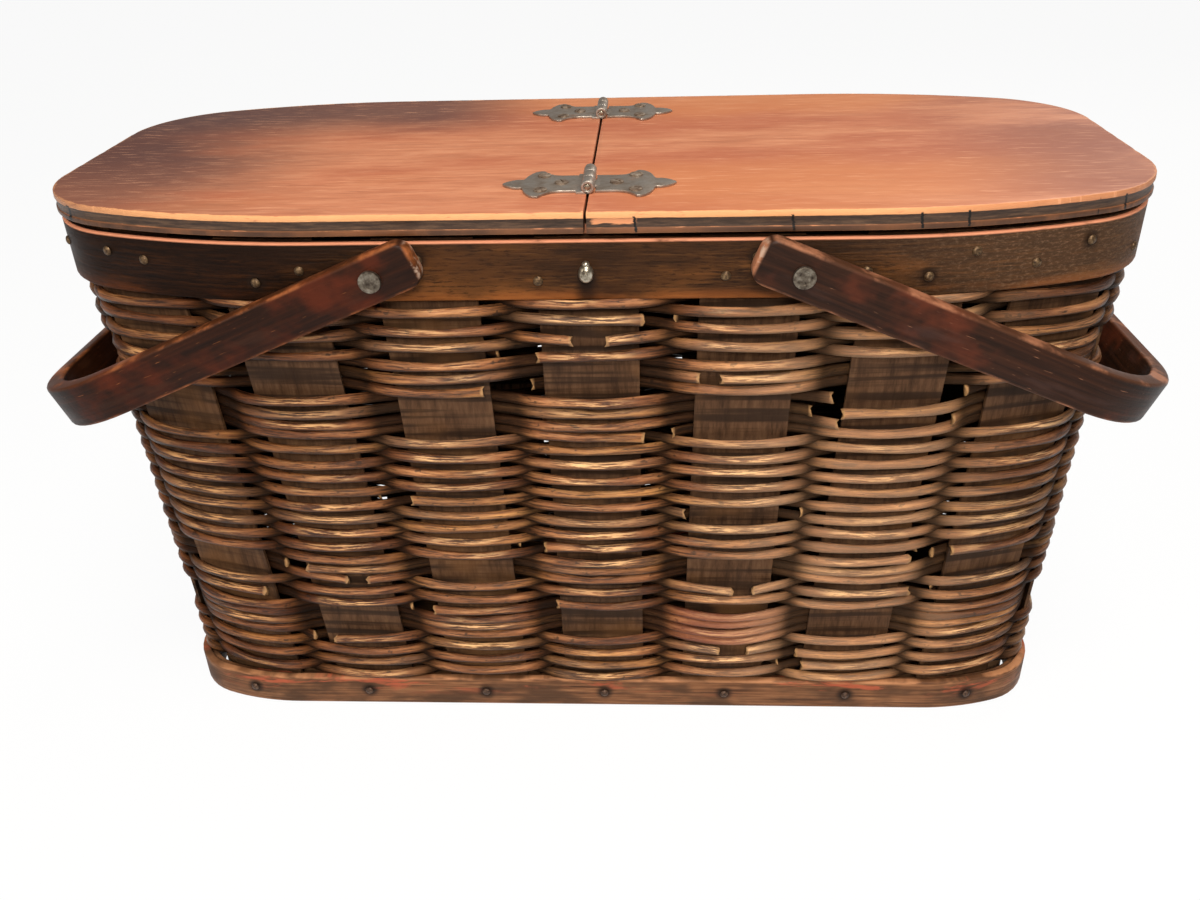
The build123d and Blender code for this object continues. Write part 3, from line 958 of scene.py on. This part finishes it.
stud = begin(
    "stud", bpy.ops.mesh.primitive_cylinder_add, vertices=20, radius=0.0026, depth=0.0009,
    location=(0, 0, 0.0006),
)
edit_faces(stud, lambda face: face.normal.z > 0.9)
for rise, spread in (
    (0.0003, 0.72), (0.0007, 1.62), (0.0012, 1.26), (0.0014, 1.0), (0.0011, 0.82), (0.0007, 0.62),
    (0.0001, 0.62), (0.0004, 0.86), (0.0002, 0.5),
):
    draw_out(0, 0, rise)
    bpy.ops.transform.resize(value=(spread, spread, 1))
leave_edit()
finish_place(stud)
stretch = stud_reach / max(corner.co.z for corner in stud.data.vertices)
stud.data.transform(Matrix.Diagonal((0.85, 1.06, stretch, 1)))
knob = begin(
    "knob", bpy.ops.mesh.primitive_uv_sphere_add, segments=14, ring_count=10, radius=0.0017,
    location=(0, 0.0040, stud_reach * 0.5),
)
bpy.ops.object.mode_set(mode="EDIT")
bpy.ops.transform.resize(value=(1, 0.85, 1.1))
leave_edit()
finish_place(knob)
join((stud, knob))
smooth(stud)
spots = [
    facing(Vector((0, side * (rim_plan[1] + 0.0002), stud_height)), Vector((0, side, 0)))
    for side in (-1, 1)
]
dress(copy_to(stud, "ball_studs", spots), stud_nickel, "basket", "stud_metal", "bar_studs")

# Lid: two halves of thin three-ply, stained and varnished, with a batten under each. The
# edge shows the plies: a worn light top, a dark core that has cracked, and a thin bottom
lid_low, lid_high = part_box("right_lid_board")
seam = lid_low.x
lid_outside = lid_high.x - rim_plan[0]
lid_depth = lid_high.y
ply_steps = (0.0022, 0.0042, 0.0026)
lid_points = 170
edge_cracks = (0.0208, 0.086, 0.1385, 0.158, 0.228)


def lid_half(name, side):
    """One half of the lid, drawn to the rim's plan, drawn up ply by ply, its core worn back."""
    add_ring = bpy.ops.mesh.primitive_circle_add
    board = begin(name, add_ring, vertices=lid_points, fill_type="NGON")
    for number, corner in enumerate(board.data.vertices):
        point = hoop_point(rim_plan, number / (lid_points - 1) / 2, lid_outside)[0]
        corner.co = (side * max(point.x, seam), point.y, lid_low.z)
    edit_all()
    for step in ply_steps:
        draw_out(0, 0, step)
    turn_faces_out()
    core_low, core_high = lid_low.z + ply_steps[0], lid_high.z - ply_steps[2]
    edit_faces(board, lambda face: (
        core_low < face.center.z < core_high and abs(face.center.x) > seam + 0.0002
        and abs(face.normal.z) < 0.1
    ))
    bpy.ops.mesh.extrude_region_shrink_fatten(TRANSFORM_OT_shrink_fatten={"value": -0.0006})
    leave_edit()
    for corner in board.data.vertices:
        place = corner.co
        if abs(place.x) < seam + 0.001:
            continue
        chip = sin(place.x * 611 + 3) * sin(place.x * 233 + place.y * 417) * sin(place.y * 97 + 1)
        top = place.z > lid_high.z - 0.0001
        inward = Vector((place.x, place.y, 0)).normalized()
        place -= inward * (0.00035 * max(0, chip) + (0.0002 if top else 0))
    edit_faces(board, lambda face: face.normal.z > 0.9 and face.center.z > lid_high.z - 0.0001)
    bpy.ops.mesh.inset(thickness=0.0022)
    leave_edit()
    ease_edges(board, 0.0006, 60)
    mark_inset(board, lid_outside)
    smooth(board)
    return board


lid_varnish = new_material("varnished_plywood_lid")
place, x, y, z = place_of()
grain = noise(place, (20, 190, 3), 6, 0.62, 0.3)
lines = noise(place, (55, 1100, 3), 3, 0.7)
cloud = noise(place, (7, 19, 1), 5, 0.6)
broad = noise(place, (4, 9, 1), 2, 0.5)
off_cloud = minus(cloud, 0.5)
# Painted shade: darker towards the left end, most at the back, and over the back of the left half
painted_left_shade = fade(plus(x, times(off_cloud, 0.16)), -0.12, -0.24)
painted_back_shade = fade(plus(y, times(off_cloud, 0.09)), 0.015, 0.075, 0, 0.85)
right_end = times(fade(x, 0.14, 0.24), fade(cloud, 0.38, 0.6, 0.1, 0.75))
scratches = noise(place, (60, 1500, 1), 2, 0.5, 0.2)
# The worn light line along the outer edge
inset = mark_of("inset")
wobble = times(minus(noise(place, (110, 110, 700), 5, 0.65), 0.5), 0.0045)
off_seam = sum_of(
    "MAXIMUM", fade(size_of(x), 0.0026, 0.0034),
    fade(size_of(y), lid_depth - 0.003, lid_depth - 0.0022),
)
rub = times(fade(plus(inset, wobble), 0.0014, 0.0006), off_seam)
at_ends = fade(size_of(plus(x, 0.03)), 0.14, 0.22, 0.85, 0.3)
ragged = fade(plus(z, times(wobble, 0.5)), 0.2966, 0.2961)
# The core, the bottom ply and the underside
core = times(fade(z, 0.2923, 0.2926), fade(z, 0.2965, 0.2962))
core_grain = noise(place, (90, 90, 900), 5, 0.7)
core_tone = three_tones(core_grain, (34, 24, 18), (66, 48, 36), (96, 72, 54))
bottom_ply = three_tones(grain, (46, 30, 21), (80, 52, 35), (122, 76, 46))
underside = three_tones(grain, (112, 68, 44), (146, 96, 62), (172, 120, 82))
# A patch of new wood let into the core beside the seam, and the cracks
front = fade(y, -0.02, -0.03)
patch = times(
    fade(size_of(minus(plus(x, wobble), 0.012)), 0.010, 0.008), front,
    fade(plus(z, wobble), 0.2938, 0.2942), core,
)
split = fade(noise(place, (150, 150, 4), 2, 0.5), 0.665, 0.68)
bent = plus(plus(x, times(minus(z, 0.294), 0.12)), times(wobble, 0.5))
for crack in edge_cracks:
    near = fade(size_of(minus(bent, crack)), 0.0007, 0.0004)
    split = sum_of("MAXIMUM", split, times(near, front))
on_side = times(
    fade(z, 0.2975, 0.2968), fade(inset, 0.0025, 0.0015), fade(z, 0.2901, 0.2904)
)
colour = coats(
    three_tones(grain, (160, 96, 66), (186, 118, 84), (206, 142, 106), (0.2, 0.5, 0.8)),
    (fade(lines, 0.52, 0.7, 0, 0.34), (118, 66, 44)),
    (fade(cloud, 0.42, 0.62, 0, 0.6), (158, 82, 54)),
    (fade(broad, 0.5, 0.66, 0, 0.5), (196, 124, 76)),
    # Painted shade at the left end and at the back of the left half
    (times(painted_left_shade, fade(y, -0.1, 0.0, 0.68, 1)), (88, 54, 46)),
    (times(painted_back_shade, fade(x, -0.02, -0.1)), (84, 58, 54)),
    (right_end, (122, 68, 52)),
    (fade(scratches, 0.6, 0.7, 0, 0.45), (226, 166, 130)),
    (times(rub, at_ends), (222, 160, 108)),
    (times(ragged, rub), (110, 70, 44)),
    (core, core_tone),
    (fade(z, 0.2923, 0.2919), bottom_ply),
    (fade(z, 0.2903, 0.2900), underside),
    (patch, (206, 138, 96)),
    (times(split, on_side), (12, 8, 5)),
)
finish_wood(
    colour, plus(grain, times(lines, 0.5)), fade(cloud, 0.3, 0.7, 0.42, 0.56), 0.00018, 0.04, 0.28
)
batten_tones = ((92, 58, 36), (138, 94, 60), (164, 120, 82))
batten_wood = plain_wood("pine_batten", (260, 10, 200), batten_tones, 0.62)
for side, side_name in ((-1, "left"), (1, "right")):
    board = lid_half(f"{side_name}_lid_ply", side)
    dress(board, lid_varnish, f"{side_name}_lid", "lid_plywood", f"{side_name}_lid_board")
    stain(frame["nodes"][f"{side_name}_lid_cleat"], batten_wood)

# Hinges: two butterfly hinges of pressed steel, each leaf with a waisted tip and held by three
# slotted screws. The steel is grey-brown, with rust in its hollows
hinge_steel = new_material("aged_hinge_steel")
place = place_of()[0]
spots = noise(place, (150, 150, 150), 5, 0.65)
rust = fade(noise(place, (90, 90, 90), 5, 0.7), 0.58, 0.7, 0, 0.6)
relief = add_node("Bump", Strength=0.6, Distance=0.0002, Height=noise(place, (900, 900, 900)))
colour = coats(
    three_tones(spots, (128, 112, 98), (164, 152, 140), (186, 178, 168)),
    (rust, (104, 62, 40)),
)
shader = add_node(
    "BsdfPrincipled", Metallic=minus(0.85, times(rust, 0.8)), Normal=relief.outputs[0],
    Roughness=fade(spots, 0.3, 0.7, 0.5, 0.34), **{"Base Color": colour},
)
add_node("OutputMaterial", Surface=shader.outputs[0])
screw_steel = aged_metal(
    "rusty_screw", 420, 4, 0.65, ((78, 60, 48), (128, 110, 94), (166, 154, 140)), 0.6, 0.5
)
hinge_place = 0.069
leaf_thick = 0.0012
leaf_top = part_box("right_hinge_leaf_front")[0].z + leaf_thick
barrel_height, barrel_radius = 0.302, 0.0029
knuckle, knuckle_gap = 0.00913, 0.0003
screw_places = ((0.0123, 0), (0.0208, -0.011), (0.0208, 0.011))
# Half of a leaf's outline, as places out from the pin and aside from its middle
leaf_half = (
    (0.0032, 0.0118), (0.012, 0.0116), (0.0155, 0.0122), (0.0182, 0.0143), (0.0200, 0.0168),
    (0.0214, 0.0192), (0.0232, 0.0191), (0.0252, 0.0178), (0.0270, 0.0150), (0.0284, 0.0110),
    (0.0292, 0.0072), (0.0300, 0.0059), (0.0320, 0.0060), (0.0340, 0.0052), (0.0360, 0.0038),
    (0.0378, 0.0018), (0.0388, 0.0),
)


def slotted_screw():
    """A slotted screw head: a disc, domed by insets, with its slot cut across."""
    add_disc, add_block = bpy.ops.mesh.primitive_cylinder_add, bpy.ops.mesh.primitive_cube_add
    head = begin("head", add_disc, vertices=20, radius=0.0031, depth=0.0006)
    edit_faces(head, lambda face: face.normal.z > 0.9)
    for inward, rise in ((0.0006, 0.0003), (0.0012, 0.0002)):
        bpy.ops.mesh.inset(thickness=inward)
        bpy.ops.transform.translate(value=(0, 0, rise))
    cutter = begin("cutter", add_block, size=1, location=(0, 0, 0.0009))
    cutter.scale = (0.008, 0.0008, 0.0011)
    finish_place(cutter)
    apply_modifier(head, "BOOLEAN", operation="DIFFERENCE", object=cutter)
    throw_away(cutter)
    smooth(head, 30)
    return head


def butterfly_leaf(name, side, row_y, steps):
    """One leaf: its outline cut from sheet, and the knuckles that its end is rolled into."""
    outline = leaf_half + tuple((out, -aside) for out, aside in leaf_half[-2::-1])
    leaf = begin(
        name, bpy.ops.mesh.primitive_circle_add, vertices=len(outline), fill_type="NGON"
    )
    for corner, (out, aside) in zip(leaf.data.vertices, outline):
        corner.co = (side * out, row_y + aside, leaf_top - leaf_thick)
    edit_all()
    draw_out(0, 0, leaf_thick)
    turn_faces_out()
    parts = [leaf]
    for step in steps:
        roll = begin(
            "roll", bpy.ops.mesh.primitive_cylinder_add, vertices=24, radius=barrel_radius,
            depth=knuckle, location=(0, row_y + step, barrel_height), rotation=(pi / 2, 0, 0),
        )
        finish_place(roll)
        edit_faces(roll, lambda face: abs(face.normal.y) > 0.9)
        bpy.ops.mesh.inset(thickness=0.0012, use_individual=True)
        bpy.ops.mesh.extrude_region_shrink_fatten(TRANSFORM_OT_shrink_fatten={"value": -0.0006})
        tab = begin(
            "tab", bpy.ops.mesh.primitive_cube_add, size=1,
            location=(side * 0.0025, row_y + step, leaf_top - leaf_thick / 2),
        )
        tab.scale = (0.0052, knuckle, leaf_thick)
        finish_place(tab)
        parts += [roll, tab]
    join(parts)
    ease_edges(leaf, 0.00025, 50)
    smooth(leaf, 38)
    return leaf


knuckle_step = knuckle + knuckle_gap
for side, side_name, steps in (
    (-1, "left", (-knuckle_step, knuckle_step)), (1, "right", (0,)),
):
    spots = []
    for row, row_y in (("front", -hinge_place), ("rear", hinge_place)):
        leaf = butterfly_leaf(f"{side_name}_butterfly_leaf_{row}", side, row_y, steps)
        node = f"{side_name}_hinge_leaf_{row}"
        dress(leaf, hinge_steel, f"{side_name}_lid", "hinge_steel", node)
        for out, aside in screw_places:
            spot = Matrix.Translation((side * out, row_y + aside, leaf_top + 0.0003))
            spots.append(spot @ Matrix.Rotation(chance.uniform(0, pi), 4, "Z"))
    screws = copy_to(slotted_screw(), f"{side_name}_hinge_screws", spots)
    dress(screws, screw_steel, f"{side_name}_lid", "hinge_steel")


def turned_piece(node, name):
    """A CAD node's own shape, with its flat faces made whole."""
    piece = merged_copy(node, name)
    bpy.ops.mesh.dissolve_limited(angle_limit=radians(0.5))
    leave_edit()
    return piece


for row in ("front", "rear"):
    pin = turned_piece(f"hinge_pin_{row}", f"hinge_wire_{row}")
    ease_edges(pin, 0.0004, 50)
    smooth(pin)
    dress(pin, stud_nickel, "left_lid", "stud_metal", f"hinge_pin_{row}")

# Handles: two bails of steamed ash, a flat strap bent round each end of the basket, stained
# dark red-brown and rubbed bare at the edges, with a painted highlight along them. They hang down
# against the end walls
pivot_out, pivot_height = 0.0905, 0.274
rest_slope = radians(23)
strap_wide, strap_thick = 0.021, 0.009
strap_tail, bend_radius = 0.021, 0.052
handle_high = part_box("right_handle_bow")[1]
strap_outer = handle_high.y
strap_middle = strap_outer - strap_thick / 2
middle_radius = bend_radius - strap_thick / 2
reach_out = (handle_high.x - pivot_out - strap_wide / 2 * sin(rest_slope)) / cos(rest_slope)


def bend_handle(name, side):
    """One bail: the strap's end drawn along the arm, spun round both bends and back."""
    start = (-strap_tail, -strap_middle, 0)
    bow = begin(name, bpy.ops.mesh.primitive_plane_add, size=1, location=start)
    edit_all()
    bpy.ops.transform.resize(value=(strap_wide, strap_thick, 1))
    leave_edit()
    for corner in bow.data.vertices:
        corner.co = (0, corner.co.y, corner.co.x)
    finish_place(bow)
    edit_all()
    straight = reach_out + strap_tail - strap_thick / 2 - middle_radius
    turn_x, turn_y = straight - strap_tail, middle_radius - strap_middle
    for along, across, bend_y in (
        (straight, 0, turn_y), (0, -2 * turn_y, -turn_y), (-straight, 0, None),
    ):
        for _ in range(6):
            draw_out(along / 6, across / 6, 0)
        if bend_y is not None:
            bpy.ops.mesh.spin(
                steps=14, angle=-pi / 2, center=(turn_x, bend_y, 0), axis=(0, 0, 1)
            )
    bpy.ops.mesh.select_all(action="SELECT")
    bpy.ops.mesh.remove_doubles(threshold=0.00002)
    bpy.ops.mesh.normals_make_consistent(inside=False)
    bpy.ops.mesh.select_mode(type="EDGE")
    bpy.ops.mesh.select_all(action="DESELECT")
    leave_edit()
    mesh = bow.data
    for edge in mesh.edges:
        first, second = (mesh.vertices[corner].co for corner in edge.vertices)
        at_end = max(first.x, second.x) < -strap_tail + 0.0002
        edge.select = at_end and abs(first.z - second.z) < 0.0002
    bpy.ops.object.mode_set(mode="EDIT")
    bpy.ops.mesh.bevel(offset=0.0068, segments=5, affect="EDGES")
    leave_edit()
    ease_edges(bow, 0.0015, 40, segments=3)
    layer = own_map(mesh, "strap")
    for loop in mesh.loops:
        place = mesh.vertices[loop.vertex_index].co
        along = place.x
        if place.x >= turn_x:
            turn = np.arctan2(place.x - turn_x, max(abs(place.y) + turn_y, 0.0001))
            along = turn_x + turn * middle_radius + max(0, -turn_y - abs(place.y))
        layer.data[loop.index].uv = (along, place.z)
    arm = Matrix((
        (side * cos(rest_slope), 0, side * sin(rest_slope)), (0, 1, 0),
        (-sin(rest_slope), 0, cos(rest_slope)),
    )).to_4x4()
    mesh.transform(Matrix.Translation((side * pivot_out, 0, pivot_height)) @ arm)
    if side < 0:
        mesh.flip_normals()
    smooth(bow)
    return bow


handle_stain = new_material("dark_stained_ash_strap")
place, run, across, _ = place_of("UV")
inside, x, _, _ = place_of()
grain = noise(place, (14, 420, 1), 5, 0.62)
cloud = noise(inside, (20, 30, 26), 4, 0.6)
speckle = noise(inside, (500, 500, 500), 3, 0.6)
scratch = fade(noise(place, (110, 1300, 1), 2, 0.5), 0.69, 0.76, 0, 0.6)
edge = fade(size_of(across), 0.0088, 0.0103)
tail = fade(run, -0.0186, -0.0207)
worn = noise(inside, (60, 60, 60), 5, 0.6)
# Light rub along both edges and at the tail: wear, and along the edges a painted highlight as well
rub = sum_of(
    "MAXIMUM", times(edge, fade(worn, 0.46, 0.64, 0.12, 0.78)),
    times(tail, fade(worn, 0.4, 0.56, 0.2, 0.9)),
)
pale = times(tail, fade(noise(inside, (150, 150, 150), 4, 0.6), 0.5, 0.6), 0.8)
relief = plus(grain, times(speckle, 0.3))
colour = coats(
    three_tones(grain, (22, 11, 5), (40, 21, 11), (58, 31, 17)),
    (fade(cloud, 0.5, 0.66, 0, 0.7), (92, 42, 24)),
    (fade(noise(place, (24, 110, 1), 4), 0.55, 0.7, 0, 0.4), (66, 44, 38)),
    (scratch, (150, 104, 78)),
    (rub, (168, 112, 82)),
    # Painted shade over the whole left handle
    (fade(x, 0.02, -0.02), (0.8, 0.6, 0.36), "MULTIPLY"),
    (pale, (176, 152, 134)),
)
finish_wood(colour, relief, fade(cloud, 0.3, 0.7, 0.4, 0.56), 0.0003, gloss=0.14)
for side, side_name in ((-1, "left"), (1, "right")):
    bow = bend_handle(f"{side_name}_bail", side)
    dress(bow, handle_stain, f"{side_name}_handle", "handle_wood", f"{side_name}_handle_bow")

# Pivot rivets: steel rivets through handle, spacer and rim, each with a washer-like head, dished
# in the middle, outside, and a rove and a burr inside. Spacers keep the handles clear of the lid
rivet_steel = aged_metal(
    "dark_rivet_steel", 500, 4, 0.6, ((54, 44, 36), (104, 94, 82), (146, 138, 124)), 0.85, 0.36
)
head_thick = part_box("handle_rivets")[1].y - strap_outer
wall_shank = strap_outer - rim_plan[1] + 0.018 - head_thick
shoulder, head_dish = 0.0019, 0.0003
rivet = begin(
    "rivet", bpy.ops.mesh.primitive_cylinder_add, vertices=28, radius=0.0048, depth=head_thick,
    location=(0, 0, head_thick / 2),
)
finish_place(rivet)
edit_faces(rivet, lambda face: face.normal.z > 0.9)
bpy.ops.mesh.inset(thickness=shoulder)
draw_out(0, 0, -head_dish)
leave_edit()
edit_faces(rivet, lambda face: face.normal.z < -0.9)
for inward, shank in ((shoulder, wall_shank), (0.00145, 0.0011)):
    bpy.ops.mesh.inset(thickness=inward)
    draw_out(0, 0, -shank)
    draw_out(0, 0, -0.0002)
    bpy.ops.transform.resize(value=(1.5, 1.5, 1))
    draw_out(0, 0, -0.001)
leave_edit()
ease_edges(rivet, 0.0002, 40)
smooth(rivet)
spots = [
    facing(Vector((end * pivot_out, side * strap_outer, pivot_height)), Vector((0, side, 0)))
    for end in (-1, 1) for side in (-1, 1)
]
rivets = copy_to(rivet, "pivot_rivets", spots)
dress(rivets, rivet_steel, "basket", "rivet_steel", "handle_rivets")
spacers = turned_piece("pivot_spacers", "turned_spacers")
smooth(spacers)
dress(spacers, rivet_steel, "basket", "rivet_steel", "pivot_spacers")
